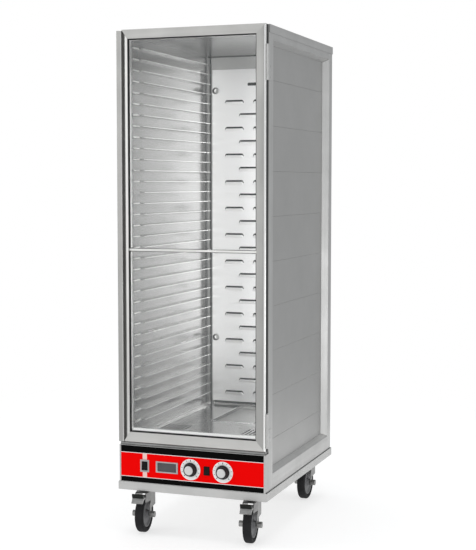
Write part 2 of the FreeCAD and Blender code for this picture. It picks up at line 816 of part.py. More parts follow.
def rocker(label, middle):
    """Rocker of a two-way switch, pressed in at its upper end."""
    height = cell("control_height")
    profile = [(-4.5, -14.6), (-3.3, 0), (-4.5, 14.6), (3, 14.6), (3, -14.6)]
    key = prism(label, "YZ", profile, -10.2, 10.2)
    tilt = FreeCAD.Rotation(FreeCAD.Vector(1, 0, 0), sheet.get("rocker_tilt"))
    key.Placement = FreeCAD.Placement(FreeCAD.Vector(), tilt)
    for letter, where in zip("xyz", (middle, fascia_face() + 1, height)):
        key.setExpression(f"Placement.Base.{letter}", size(where).text)
    return key


# Door

door_front = front - cell("door_gap") - cell("door_thickness")
door_back = front - cell("door_gap")
stile_left = cell("grip_width") - half
open_left = stile_left + cell("stile_left_width")
open_right = half - cell("stile_right_width")
open_low = cell("door_bottom") + cell("rail_bottom_height")
open_high = cell("door_top") - cell("rail_top_height")


def stepped(label, outer, lip_inner, back_inner):
    """A mitred frame member: its front lip reaches further in than the part behind it."""
    lip_back = door_front + cell("frame_lip")
    lip = prism(label + "_lip", "XZ", outer + lip_inner, door_front, lip_back)
    stem = prism(label + "_stem", "XZ", outer + back_inner, lip_back, door_back)
    return fuse(label, lip, stem)


def frame_corners(left, right, low, top):
    """Corners of a rectangle in the door's plane, counter-clockwise from the low left one."""
    return [(left, low), (right, low), (right, top), (left, top)]


def edge_groove(gap):
    """Limits of the groove along the door's hinge side, grown by a gap at its mouth and ends."""
    margin, depth = cell("edge_strip_margin"), cell("edge_strip_depth")
    return ((half - depth, half + gap), (door_front + margin, door_back - margin),
            (cell("door_bottom") - gap, cell("door_top") + gap))


def door_frame():
    """Two rails and two stiles, mitred at the corners and rabbeted for the panes."""
    low, top, bite = cell("door_bottom"), cell("door_top"), cell("rabbet")
    outer = frame_corners(stile_left, half, low, top)
    lip = frame_corners(open_left, open_right, open_low, open_high)
    back = frame_corners(open_left - bite, open_right + bite, open_low - bite, open_high + bite)
    finger_channel = box("finger_channel", (stile_left - 1, stile_left + cell("grip_channel")),
                         (door_front - 1, door_front + cell("grip_channel_depth")), (low - 1, top + 1))
    grooves = {"door_stile_left": finger_channel}
    for i, label in enumerate(("door_rail_bottom", "door_stile_right", "door_rail_top", "door_stile_left")):
        j = (i + 1) % 4
        member = stepped(f"{label}_bar", [outer[i], outer[j]], [lip[j], lip[i]], [back[j], back[i]])
        groove = grooves.get(label) or box(f"{label}_groove", *edge_groove(1))
        node(label, cut(f"{label}_grooved", member, groove))


def door_grip():
    """Full-height flange beside the left stile, pulled with the fingers."""
    return box("grip_flange", (-half, stile_left), (door_front, door_back),
               (cell("door_bottom"), cell("door_top") - 3))


def ring(label, x, y, z, margins):
    """A flat rectangular frame: its opening is smaller by the left, right, low and top margins."""
    left, right, low, top = margins
    plate = box(label + "_plate", x, y, z)
    hole = box(label + "_hole", (size(x[0]) + left, size(x[1]) - right), (size(y[0]) - 1, size(y[1]) + 1),
               (size(z[0]) + low, size(z[1]) - top))
    return cut(label, plate, hole)


def glazing():
    """Panes between a seal at the front and a bead at the back, joined by the crossbar."""
    bite, bar, half_bar = cell("rabbet"), cell("crossbar_height"), cell("crossbar_width") / 2
    x = (open_left - bite + 0.5, open_right + bite - 0.5)
    low, high = open_low - bite + 0.5, open_high + bite - 0.5
    seal_y = (door_front + cell("frame_lip"), door_front + cell("frame_lip") + 1.5)
    pane_y = (seal_y[1], seal_y[1] + cell("pane_thickness"))
    bead_y = (pane_y[1], pane_y[1] + 8)
    web = size(1.5)
    edge = bite - 0.5 + 4
    node("glazing_seals", group(
        "seals", ring("seal_lower", x, seal_y, (low, bar - half_bar), (edge, edge, edge, 1.5)),
        ring("seal_upper", x, seal_y, (bar + half_bar, high), (edge, edge, 1.5, edge))))
    node("pane_lower", box("lower_pane", x, pane_y, (low, bar - web)))
    node("pane_upper", box("upper_pane", x, pane_y, (bar + web, high)))
    node("door_crossbar", fuse(
        "crossbar", box("crossbar_front", x, seal_y, (bar - half_bar, bar + half_bar)),
        box("crossbar_web", x, pane_y, (bar - web, bar + web)),
        box("crossbar_back", x, (pane_y[1], pane_y[1] + 3), (bar - half_bar, bar + half_bar))))
    node("glazing_bead", group(
        "beads", ring("bead_lower", x, bead_y, (low, bar - half_bar), (edge, edge, edge + 9, 1)),
        ring("bead_upper", x, bead_y, (bar + half_bar, high), (edge, edge, 1, edge))))


def door_gasket():
    """Magnetic gasket round the back of the door, and the rubber strip let into its hinge side."""
    across, thick = (stile_left + 4, half - 4), cell("door_gap") - cell("fit_gap")
    gasket = ring("magnetic_gasket", across, (door_back, door_back + thick),
                  (cell("door_bottom") + 6, cell("door_top") - 6), (12, 12, 12, 12))
    return group("door_gasket", gasket, box("edge_strip", *edge_groove(-cell("edge_strip_sunk"))))


def hinge_axis():
    return cell("hinge_axis_x"), front - cell("hinge_axis_back")


def hinge_leaves(name, on_door):
    """Half of both lift-off hinges: a knuckle and the leaf that carries it."""
    x, y = hinge_axis()
    radius, pin, long = cell("hinge_radius"), cell("hinge_pin_radius"), cell("hinge_length")
    halves = []
    for level in ("low", "high"):
        foot = cell(f"hinge_{level}")
        start = foot + long / 2 + cell("fit_gap") if on_door else foot
        length = long / 2 - cell("fit_gap") if on_door else long / 2
        knuckle = rod(f"{name}_knuckle_{level}", "z", (x, y, start), radius, length)
        height = (start, start + length)
        if on_door:
            leaf = box(f"{name}_plate_{level}", (half, half + 1.5), (y, door_back - 4), height)
            bore = rod(f"{name}_bore_{level}", "z", (x, y, start - 1), pin + cell("running_gap"),
                       length - 5)
            halves.append(cut(f"{name}_leaf_{level}", fuse(f"{name}_solid_{level}", knuckle, leaf), bore))
        else:
            leaf = box(f"{name}_plate_{level}", (half + 0.4, half + 1.5), (y, front + 22), height)
            foot_pad = box(f"{name}_pad_{level}", (half, half + 0.4), (front + 1, front + 22), height)
            post = rod(f"{name}_pin_{level}", "z", (x, y, foot), pin, long / 2 + 45)
            halves.append(fuse(f"{name}_leaf_{level}", knuckle, leaf, foot_pad, post))
    return group(name, *halves)


# Casters

CASTERS = {"front_left": (-1, 0), "front_right": (1, 0), "rear_left": (-1, 1), "rear_right": (1, 1)}
plate_low = cell("tray_bottom") - cell("plate_thickness")
fork_top = plate_low - cell("fork_drop")
trail = -cell("caster_trail")
pedal_hinge = (-cell("pedal_hinge_reach"), cell("pedal_hinge_height"))


CROWN_THICKNESS = 4.0


def caster_axis(corner):
    side, back = CASTERS[corner]
    y = rear - cell("caster_rear_inset") if back else front + cell("caster_front_inset")
    return cell("caster_x") * side, y


def placed(corner, solid):
    """Moves a piece drawn about its swivel axis to its corner; the front two are turned a little."""
    turn = 0 if CASTERS[corner][1] else sheet.get("front_caster_turn")
    solid.Placement = FreeCAD.Placement(FreeCAD.Vector(), about_z(turn))
    for letter, where in zip("xy", caster_axis(corner)):
        solid.setExpression(f"Placement.Base.{letter}", where.text)
    return solid


def caster_plates():
    """Mounting plates with their kingpins, bolted under the tray."""
    plates = []
    for corner in CASTERS:
        x, y = caster_axis(corner)
        plate = box(f"plate_{corner}", (x - 44, x + 44), (y - 38, y + 38), (plate_low, cell("tray_bottom")))
        race_foot = fork_top + cell("fit_gap")
        race = rod(f"race_{corner}", "z", (x, y, race_foot), 23, plate_low - race_foot)
        pin = rod(f"kingpin_{corner}", "z", (x, y, fork_top - 6), cell("kingpin_radius"),
                  6 + cell("fit_gap"))
        head = rod(f"kingpin_head_{corner}", "z", (x, y, fork_top - CROWN_THICKNESS - 4), 10,
                   4 - cell("fit_gap"))
        plates.append(fuse(f"caster_plate_{corner}", plate, race, pin, head))
    return group("caster_plates", *plates)


def caster_fork(corner, braked):
    """Stamped fork, turning on the kingpin: two legs wrapped round the wheel, and the axle bolt."""
    low, skirt, outside = fork_top - CROWN_THICKNESS, size(112), size(25)
    crown_outline = [(-25, 13), (-25, -37), (-22, -58), (22, -58), (25, -37), (25, 13)]
    crown = prism(f"crown_{corner}", "XY", crown_outline, low, fork_top)
    hole = rod(f"crown_hole_{corner}", "z", (0, 0, low - 1),
               cell("kingpin_radius") + cell("running_gap"), CROWN_THICKNESS + 2)
    pieces = [cut(f"crown_bored_{corner}", crown, hole)]
    strap = [(13, low), (13, 88), (trail + 8, 84), (trail + 8, 56), (trail - 6, 52), (trail - 8, 56),
             (trail - 8, 98), (trail + 1, skirt), (trail + 1, low)]
    for name, side in SIDES:
        limits = (outside - 3, outside) if side > 0 else (-outside, 3 - outside)
        pieces.append(prism(f"leg_{name}_{corner}", "YZ", strap, *limits))
        wrap = [(22 * side, -37), (outside * side, -37), (20 * side, -75), (17 * side, -75)]
        pieces.append(prism(f"wrap_{name}_{corner}", "XY", wrap, skirt, fork_top))
        foot = (24 if side > 0 else -40, trail, cell("wheel_radius"))
        pieces.append(rod(f"nut_{name}_{corner}", "x", foot, 10.5, 16))
    axle_foot = (-36, trail, cell("wheel_radius"))
    pieces.append(rod(f"axle_{corner}", "x", axle_foot, cell("axle_radius"), 72))
    if braked:
        pieces.append(rod(f"pedal_pin_{corner}", "x", (-19, *pedal_hinge), cell("pedal_pin_radius"), 38))
    return placed(corner, fuse(f"fork_{corner}", *pieces))


def caster_wheel(corner):
    """Hub with a running bore, and the tyre round it."""
    radius, wide = cell("wheel_radius"), cell("wheel_width") / 2
    bore, seat = cell("axle_radius") + cell("running_gap"), cell("wheel_radius") - 17
    hub = [(-19, bore), (-19, 12), (-10, 14), (-10, seat - 5), (-13, seat - 4), (-13, seat),
           (13, seat), (13, seat - 4), (10, seat - 5), (10, 14), (19, 12), (19, bore)]
    tyre = [(-wide + 2, seat), (-wide, seat + 3), (-wide, radius - 6), (-wide + 3, radius - 1.5),
            (-wide + 7, radius), (wide - 7, radius), (wide - 3, radius - 1.5), (wide, radius - 6),
            (wide, seat + 3), (wide - 2, seat)]
    for kind, profile in (("hub", hub), ("tyre", tyre)):
        solid = turned(f"{kind}_{corner}", profile, "x", (0, trail, radius))
        node(f"caster_{kind}_{corner}", placed(corner, group(f"{kind}_at_{corner}", solid)))


def brake_pedal(corner):
    """Two-lobed toe pedal on a pin across the front of the fork."""
    y, z = pedal_hinge
    neck_profile = [(y + 5.5, z - 4), (y + 5.5, z + 4), (y + 3, z + 5.5),
                    (y - 26, z + 5.5), (y - 26, z - 5), (y + 3, z - 5.5)]
    neck = prism(f"pedal_neck_{corner}", "YZ", neck_profile, -15, 15)
    paddle_profile = [(y - 11, z - 5), (y - 24, z - 6), (y - 42, z - 17), (y - 45, z - 14), (y - 34, z - 1),
                      (y - 39, z + 14), (y - 36, z + 16), (y - 25, z + 6), (y - 11, z + 5)]
    paddle = prism(f"pedal_paddle_{corner}", "YZ", paddle_profile, -21, 19)
    bore = rod(f"pedal_bore_{corner}", "x", (-22, y, z), cell("pedal_pin_radius") + cell("running_gap"), 44)
    return placed(corner, cut(f"pedal_{corner}", fuse(f"pedal_solid_{corner}", neck, paddle), bore))


# Fasteners

def fasteners():
    """Screw and bolt heads that hold the pieces together."""
    heads = []
    for corner in CASTERS:
        x, y = caster_axis(corner)
        for i, (dx, dy) in enumerate(((-36, -30), (36, -30), (-36, 30), (36, 30))):
            heads.append(rod(f"caster_bolt_{corner}_{i}", "z", (x + dx, y + dy, plate_low - 4), 6.5, 4))
    reach = cell("thumb_screw_reach")
    for name, side in SIDES:
        for level in ("low", "high"):
            foot = (cell("thumb_screw_x") * side, duct_face - reach, cell(f"thumb_screw_{level}"))
            heads.append(rod(f"thumb_screw_{name}_{level}", "y", foot, cell("thumb_screw_radius"), reach))
    for level in ("low", "high"):
        for i in range(3):
            height = cell(f"hinge_{level}") + 11 + 18 * i
            heads.append(rod(f"hinge_screw_{level}_{i}", "x", (half + 1.5, front + 10, height), 3, 1.2))
    return group("fasteners", *heads)


# Assembly

mitres = mitre_blocks()
node("base_tray", base_tray())
for name, side in SIDES:
    node(f"post_front_{name}", front_post(f"front_post_{name}", side, mitres))
    node(f"post_rear_{name}", rear_post(f"rear_post_{name}", side, mitres))
node("side_rails", side_rails())
node("cross_rails", cross_rails())
node("roof_cap", roof_cap())
node("ceiling_panel", roof_plank())
node("wall_planks", wall_planks())
node("pan_ledges", pan_ledges())
node("pan_stops", pan_stops())
node("rear_panel", rear_panel())
node("power_inlet", power_inlet())
node("duct_panel", duct_panel())
node("deck_panel", deck_panel())
node("water_pan", water_pan())
node("water_pan_lid", water_pan_lid())
node("heater_element", heater_element())
node("blower_housing", blower_housing())
node("blower_wheel", blower_wheel())
node("blower_motor", blower_motor())
node("control_box", control_box())
node("fascia_panel", fascia_panel())
node("panel_bezels", panel_bezels())
node("display_lens", display_lens())
node("dial_controls", dial_controls())
node("knob_heat", knob("heat_knob", cell("heat_knob_x")))
node("knob_humidity", knob("humidity_knob", cell("humidity_knob_x")))
node("rocker_power", rocker("power_rocker", cell("power_switch_x")))
node("rocker_mode", rocker("mode_rocker", cell("mode_switch_x")))
door_frame()
node("door_grip", door_grip())
glazing()
node("door_gasket", door_gasket())
node("door_hinge_leaves", hinge_leaves("door_hinge", True))
node("frame_hinge_leaves", hinge_leaves("frame_hinge", False))
node("caster_plates", caster_plates())
for corner, (side, back) in CASTERS.items():
    node(f"caster_fork_{corner}", caster_fork(corner, braked=not back))
    caster_wheel(corner)
    if not back:
        node(f"brake_pedal_{corner}", brake_pedal(corner))
node("fasteners", fasteners())

doc.recompute()
for part in doc.Objects:
    if {"Invalid", "Error"} & set(part.State):
        raise RuntimeError(f"{part.Label} could not be built: {part.State}")
for label, solid in nodes.items():
    if solid.Shape.isNull() or not solid.Shape.isValid() or not solid.Shape.Solids:
        raise RuntimeError(f"{label} has no valid solid")

os.makedirs("parts", exist_ok=True)
for label, solid in nodes.items():
    solid.Shape.exportStep(f"parts/{label}.step")
box_all = Part.makeCompound([solid.Shape for solid in nodes.values()]).BoundBox
print(f"{len(nodes)} nodes, box {box_all}")
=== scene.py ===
import json
import math

import bmesh
import bpy
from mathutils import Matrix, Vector

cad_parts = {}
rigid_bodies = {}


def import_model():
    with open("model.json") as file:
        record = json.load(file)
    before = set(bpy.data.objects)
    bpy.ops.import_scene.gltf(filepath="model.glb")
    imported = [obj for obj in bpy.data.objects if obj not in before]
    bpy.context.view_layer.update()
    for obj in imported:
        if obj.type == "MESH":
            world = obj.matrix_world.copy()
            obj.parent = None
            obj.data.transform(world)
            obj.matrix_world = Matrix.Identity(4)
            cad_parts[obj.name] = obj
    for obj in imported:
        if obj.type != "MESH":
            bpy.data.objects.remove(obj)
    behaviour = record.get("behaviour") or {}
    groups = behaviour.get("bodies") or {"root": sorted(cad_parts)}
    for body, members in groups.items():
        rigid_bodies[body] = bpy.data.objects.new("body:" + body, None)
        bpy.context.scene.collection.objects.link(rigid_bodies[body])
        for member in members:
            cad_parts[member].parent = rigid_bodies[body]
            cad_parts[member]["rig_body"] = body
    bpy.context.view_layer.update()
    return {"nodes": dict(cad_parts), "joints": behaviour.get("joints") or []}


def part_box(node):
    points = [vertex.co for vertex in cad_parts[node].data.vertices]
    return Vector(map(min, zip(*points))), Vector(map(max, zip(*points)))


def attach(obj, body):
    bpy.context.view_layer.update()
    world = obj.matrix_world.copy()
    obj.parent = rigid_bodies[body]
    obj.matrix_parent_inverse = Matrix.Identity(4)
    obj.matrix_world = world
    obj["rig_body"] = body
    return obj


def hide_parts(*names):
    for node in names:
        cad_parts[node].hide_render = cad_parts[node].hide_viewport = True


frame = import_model()

MM = 0.001
WELD = 2e-6           # corners closer than this are one corner
TINY = 1e-5           # a length or slope this small counts as none


# Materials

NOISE_LOW, NOISE_HIGH = 0.3, 0.7      # a noise texture's values lie mostly between these
ALUMINIUM_WARM = (1, 0.995, 0.965)    # the anodised door members are a little warmer than the frame


def shader(name):
    """A new material and its node tree, with the Principled shader's node."""
    material = bpy.data.materials.new(name)
    material.use_nodes = True
    tree = material.node_tree
    return material, tree, tree.nodes["Principled BSDF"]


def add(tree, kind, **inputs):
    """Adds a node; an input is a value or another node's output socket."""
    made = tree.nodes.new(kind)
    for key, value in inputs.items():
        if hasattr(made, key):
            setattr(made, key, value)
            continue
        socket = made.inputs[int(key[1:])] if key[1:].isdigit() else made.inputs[key.replace("_", " ")]
        if isinstance(value, bpy.types.NodeSocket):
            tree.links.new(value, socket)
        else:
            socket.default_value = value
    return made


def noise(tree, scale, stretch=(1, 1, 1), detail=3.0, roughness=0.55):
    """Noise in object space, with its cells stretched along an axis where stretch is small."""
    place = add(tree, "ShaderNodeTexCoord")
    mapped = add(tree, "ShaderNodeMapping", Vector=place.outputs["Object"], Scale=stretch)
    return add(tree, "ShaderNodeTexNoise", Vector=mapped.outputs["Vector"], Scale=scale, Detail=detail,
               Roughness=roughness).outputs["Fac"]


def spread(tree, value, low, high):
    """Maps a noise value onto low to high."""
    made = add(tree, "ShaderNodeMapRange", Value=value, From_Min=NOISE_LOW, From_Max=NOISE_HIGH, To_Min=low,
               To_Max=high)
    return made.outputs["Result"]


def tint(tree, value, dark, light):
    """Maps a noise value onto a colour between dark and light."""
    ramp = add(tree, "ShaderNodeValToRGB", Fac=value)
    for element, position, colour in zip(ramp.color_ramp.elements, (NOISE_LOW, NOISE_HIGH), (dark, light)):
        element.position = position
        element.color = (*colour, 1)
    return ramp.outputs["Color"]


def bump(tree, bsdf, height, strength, distance):
    made = add(tree, "ShaderNodeBump", Height=height, Strength=strength, Distance=distance)
    tree.links.new(made.outputs["Normal"], bsdf.inputs["Normal"])


GRAIN = {"x": (0.02, 1, 1), "y": (1, 0.02, 1), "z": (1, 1, 0.02), "none": (1, 1, 1)}


def metal(name, grey, along="z", roughness=0.36, contrast=0.05, metallic=0.9, tone=(1, 1, 0.985), streaky=0.4,
          uneven=0.06, scratch=0.25, dark_above=None):
    """Rolled or extruded metal: long fine scratches, with soft blotches from handling.

    dark_above gives a height from which a worn dark pad covers the metal.
    """
    material, tree, bsdf = shader(name)
    scratches = noise(tree, 900.0, GRAIN[along], detail=2.0)
    streaks = noise(tree, 90.0, GRAIN[along], detail=4.0)
    blotches = noise(tree, 7.0, detail=4.0)
    mixed = add(tree, "ShaderNodeMix", data_type="FLOAT", _0=1 - streaky, _2=streaks, _3=blotches).outputs[0]
    dark = [channel * (grey - contrast) for channel in tone]
    light = [channel * (grey + contrast) for channel in tone]
    colour = tint(tree, mixed, dark, light)
    if dark_above:
        place = add(tree, "ShaderNodeTexCoord")
        split = add(tree, "ShaderNodeSeparateXYZ", Vector=place.outputs["Object"])
        pad = add(tree, "ShaderNodeMath", operation="GREATER_THAN", _0=split.outputs["Z"], _1=dark_above)
        colour = add(tree, "ShaderNodeMix", data_type="RGBA", _0=pad.outputs[0], _6=colour,
                     _7=(0.02, 0.022, 0.02, 1)).outputs[2]
    tree.links.new(colour, bsdf.inputs["Base Color"])
    tree.links.new(spread(tree, mixed, roughness + uneven, roughness - uneven), bsdf.inputs["Roughness"])
    bsdf.inputs["Metallic"].default_value = metallic
    bump(tree, bsdf, scratches, scratch, 0.0002)
    return material


def moulded(name, colour, roughness=0.5, grain=2500.0, contrast=0.12, depth=0.0001, gloss=0.3):
    """Moulded plastic or rubber with a fine texture and faint dusty patches."""
    material, tree, bsdf = shader(name)
    patches = noise(tree, 30.0, detail=5.0)
    dark = [channel * (1 - contrast) for channel in colour]
    light = [min(1.0, channel * (1 + contrast) + 0.004) for channel in colour]
    tree.links.new(tint(tree, patches, dark, light), bsdf.inputs["Base Color"])
    tree.links.new(spread(tree, patches, roughness - 0.07, roughness + 0.07), bsdf.inputs["Roughness"])
    bsdf.inputs["Specular IOR Level"].default_value = gloss
    bump(tree, bsdf, noise(tree, grain, detail=2.0), 0.4, depth)
    return material


def clear(name):
    """Clear glazing: see-through, with a gloss that grows at a glancing angle and a few faint smears."""
    material, tree, bsdf = shader(name)
    smears = noise(tree, 9.0, (1, 1, 0.3), detail=5.0)
    bsdf.inputs["Base Color"].default_value = (0.93, 0.96, 0.955, 1)
    tree.links.new(spread(tree, smears, 0.03, 0.05), bsdf.inputs["Roughness"])
    tree.links.new(spread(tree, smears, 0.055, 0.065), bsdf.inputs["Alpha"])
    bsdf.inputs["IOR"].default_value = 1.5
    return material


def printed(name, bands, stripe, colours):
    """Printed panel: level bands by height, and one pale upright stripe behind the power switch."""
    material, tree, bsdf = shader(name)
    place = add(tree, "ShaderNodeTexCoord")
    split = add(tree, "ShaderNodeSeparateXYZ", Vector=place.outputs["Object"])
    lowest, highest = bands[0][0], bands[-1][1]
    level = add(tree, "ShaderNodeMapRange", Value=split.outputs["Z"], From_Min=lowest, From_Max=highest)
    ramp = add(tree, "ShaderNodeValToRGB", Fac=level.outputs["Result"])
    ramp.color_ramp.interpolation = "CONSTANT"
    while len(ramp.color_ramp.elements) < len(bands):
        ramp.color_ramp.elements.new(0.5)
    for element, (low, _, colour) in zip(ramp.color_ramp.elements, bands):
        element.position = (low - lowest) / (highest - lowest)
        element.color = (*colours[colour], 1)
    centre, half_width, low, high = stripe
    away = add(tree, "ShaderNodeMath", operation="SUBTRACT", _0=split.outputs["X"], _1=centre)
    near = add(tree, "ShaderNodeMath", operation="ABSOLUTE", _0=away.outputs[0])
    inside = add(tree, "ShaderNodeMath", operation="LESS_THAN", _0=near.outputs[0], _1=half_width)
    above = add(tree, "ShaderNodeMath", operation="GREATER_THAN", _0=split.outputs["Z"], _1=low)
    below = add(tree, "ShaderNodeMath", operation="LESS_THAN", _0=split.outputs["Z"], _1=high)
    both = add(tree, "ShaderNodeMath", operation="MULTIPLY", _0=above.outputs[0], _1=below.outputs[0])
    mask = add(tree, "ShaderNodeMath", operation="MULTIPLY", _0=inside.outputs[0], _1=both.outputs[0])
    mixed = add(tree, "ShaderNodeMix", data_type="RGBA", _0=mask.outputs[0], _6=ramp.outputs["Color"],
                _7=(*colours["pale"], 1))
    tree.links.new(mixed.outputs[2], bsdf.inputs["Base Color"])
    tree.links.new(spread(tree, noise(tree, 60.0), 0.42, 0.52), bsdf.inputs["Roughness"])
    bsdf.inputs["Specular IOR Level"].default_value = 0.02
    bump(tree, bsdf, noise(tree, 1800.0), 0.1, 0.00005)
    return material


LOOKS = {
    "frame_z": metal("frame_upright", 0.52, "z", 0.38),
    "frame_y": metal("frame_lengthwise", 0.50, "y", 0.38),
    "frame_x": metal("frame_crosswise", 0.50, "x", 0.38),
    "door_z": metal("door_upright", 0.39, "z", 0.36, 0.035, tone=ALUMINIUM_WARM),
    "door_x": metal("door_crosswise", 0.42, "x", 0.36, 0.035, tone=ALUMINIUM_WARM),
    # The bottom rail's door metal, made lighter than the other door members' copies as painted light.
    "door_foot_painted_light": metal("door_foot_painted_light_metal", 0.54, "x", 0.36, 0.035, tone=ALUMINIUM_WARM),
    # A brighter copy of the door metal as painted highlight: on the crossbar, the grip's nose and the left
    # stile's inner lip.
    "painted_highlight": metal("painted_highlight_metal", 0.66, "z", 0.30, 0.03, tone=(1, 0.995, 0.97)),
    "planks": metal("plank_sheet", 0.43, "y", 0.42, 0.012, streaky=0.15, uneven=0.02),
    "lining": metal("plank_lining", 0.27, "y", 0.23, 0.012, streaky=0.1, uneven=0.006, scratch=0.04),
    "ledges": metal("ledge_extrusion", 0.66, "y", 0.26, 0.02, uneven=0.02, scratch=0.12),
    "back": metal("back_sheet", 0.52, "z", 0.34, 0.01, streaky=0.1, uneven=0.01),
    "duct": metal("duct_sheet", 0.99, "z", 0.34, 0.008, streaky=0.1, uneven=0.02, tone=(1, 1, 1)),
    # Near-white metal: the glazing bead's bright finish, partly painted highlight, and painted highlight on
    # the ledge roots and the right stile's nose.
    "bright_bead_highlight": metal("bright_bead_painted_highlight", 0.97, "x", 0.30, 0.01, uneven=0.02),
    "deck": metal("deck_sheet", 0.42, "y", 0.16, 0.03, uneven=0.015, scratch=0.06),
    # Dark metal as painted shade: the water pan's side walls, the insides of the thumb-screw cups and the pan
    # stops' door-facing edges.
    "dark_painted_shade": metal("painted_shade_metal", 0.12, "y", 0.35, 0.02),
    # Near-black matt plastic: the rockers' own colour, and painted shade on the sheets and strips set in the
    # duct, under the return-air slots and in the back sheet's seams.
    "matt_black_painted_shade": moulded("matt_black_and_painted_shade", (0.012, 0.012, 0.012), 0.7, gloss=0.05),
    "steel": metal("stainless_steel", 0.66, "y", 0.22, 0.05, 1.0),
    "zinc": metal("zinc_plate", 0.52, "none", 0.36, 0.07),
    "fork": metal("fork_plate", 0.27, "none", 0.38, 0.06),
    "pedal": metal("pedal_plate", 0.36, "none", 0.40, 0.10, dark_above=0.132),
    "cap_silver": metal("knob_cap_metal", 0.62, "none", 0.34, 0.04),
    "seal": moulded("seal_rubber", (0.015, 0.015, 0.016), 0.55),
    "tyre": moulded("tyre_rubber", (0.016, 0.016, 0.017), 0.70, 1400.0, 0.2, 0.0003, gloss=0.12),
    "hub": moulded("hub_nylon", (0.125, 0.125, 0.13), 0.5),
    "black": moulded("black_plastic", (0.010, 0.010, 0.011), 0.45),
    "dial": moulded("dial_white", (0.86, 0.86, 0.85), 0.4, contrast=0.03),
    "bezel": moulded("bezel_grey", (0.42, 0.41, 0.41), 0.42),
    "screen": moulded("screen_smoked", (0.075, 0.075, 0.080), 0.3, contrast=0.06),
    "glass": clear("door_glazing"),
}


# Mesh helpers

def finish_piece(obj, look, body, replaces=()):
    """Gives a made piece its material, its body and the CAD nodes that it stands for."""
    obj.data.materials.clear()
    obj.data.materials.append(LOOKS[look])
    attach(obj, body)
    if replaces:
        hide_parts(*replaces)
    return obj


def from_bmesh(name, bm):
    """A new object of that name from a bmesh, with its faces turned outwards."""
    mesh = bpy.data.meshes.new(name)
    bmesh.ops.recalc_face_normals(bm, faces=bm.faces[:])
    bm.to_mesh(mesh)
    bm.free()
    obj = bpy.data.objects.new(name, mesh)
    bpy.context.scene.collection.objects.link(obj)
    return obj


def soften(obj, width, segments=2, angle=24):
    """Rounds the sharp edges and shades the rest smooth."""
    obj.data.shade_smooth()
    obj.data.set_sharp_from_angle(angle=math.radians(angle))
    bevel = obj.modifiers.new("edges", "BEVEL")
    bevel.width = width
    bevel.segments = segments
    bevel.limit_method = "ANGLE"
    bevel.angle_limit = math.radians(angle)
    bevel.harden_normals = True
    return obj


def accent(obj, look, test):
    """Gives a second look to the faces for which test(face) is true."""
    obj.data.materials.append(LOOKS[look])
    for polygon in obj.data.polygons:
        if test(polygon):
            polygon.material_index = 1
    return obj


def refined(node, look, width=0.6 * MM, segments=2, keep=None, nosed=None, nose=0.0):
    """The CAD node's own shape with clean faces and rounded edges, in its place.

    keep(point) drops the corners it is false for; edges whose ends both pass nosed(point) get a wide round.
    """
    source = frame["nodes"][node]
    bm = bmesh.new()
    bm.from_mesh(source.data)
    bmesh.ops.remove_doubles(bm, verts=bm.verts[:], dist=WELD)
    bmesh.ops.dissolve_limit(bm, angle_limit=math.radians(1.0), verts=bm.verts[:], edges=bm.edges[:])
    if keep:
        bmesh.ops.delete(bm, geom=[v for v in bm.verts if not keep(v.co)], context="VERTS")
    if nosed:
        wide = [e for e in bm.edges if all(nosed(v.co) for v in e.verts)]
        bmesh.ops.bevel(bm, geom=wide, offset=nose, segments=5, profile=0.5, affect="EDGES")
    obj = soften(from_bmesh(f"{node}_finished", bm), width, segments)
    return finish_piece(obj, look, source["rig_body"], [node])


def blocks(name, limits, width, segments=2):
    """Separate rounded blocks in one mesh, each given by its low and high corner."""
    bm = bmesh.new()
    for low, high in limits:
        for vert in bmesh.ops.create_cube(bm, size=1.0)["verts"]:
            vert.co = Vector([lo if c < 0 else hi for c, lo, hi in zip(vert.co, low, high)])
    return soften(from_bmesh(name, bm), width, segments)


def lathe(name, profile, steps=72, flute=None):
    """Turns (along, radius) points round the X axis; flute(angle, along, radius) may change a radius."""
    bm = bmesh.new()
    rings = []
    for along, radius in profile:
        if radius < TINY:
            rings.append([bm.verts.new((along, 0, 0))])
            continue
        ring = []
        for i in range(steps):
            angle = 2 * math.pi * i / steps
            reach = flute(angle, along, radius) if flute else radius
            ring.append(bm.verts.new((along, reach * math.cos(angle), reach * math.sin(angle))))
        rings.append(ring)
    for a, b in zip(rings, rings[1:]):
        for i in range(steps):
            j = (i + 1) % steps
            corners = [a[i % len(a)], a[j % len(a)], b[j % len(b)], b[i % len(b)]]
            unique = list(dict.fromkeys(corners))
            if len(unique) > 2:
                bm.faces.new(unique)
    obj = from_bmesh(name, bm)
    for polygon in obj.data.polygons:
        polygon.use_smooth = True
    return obj


def arc(centre, radius, start, end, steps):
    """Points of a rounded corner in (along, radius) terms, angles in degrees."""
    angles = [math.radians(start + (end - start) * i / steps) for i in range(steps + 1)]
    return [(centre[0] + radius * math.cos(angle), centre[1] + radius * math.sin(angle)) for angle in angles]


def in_mm(points):
    """Points written in millimetres, as metres."""
    return [tuple(value * MM for value in point) for point in points]


def face_the_door(obj, place):
    """Sets a lathed piece at a place with its axis pointing out of the door side."""
    obj.rotation_euler = (0, 0, -math.pi / 2)
    obj.location = place


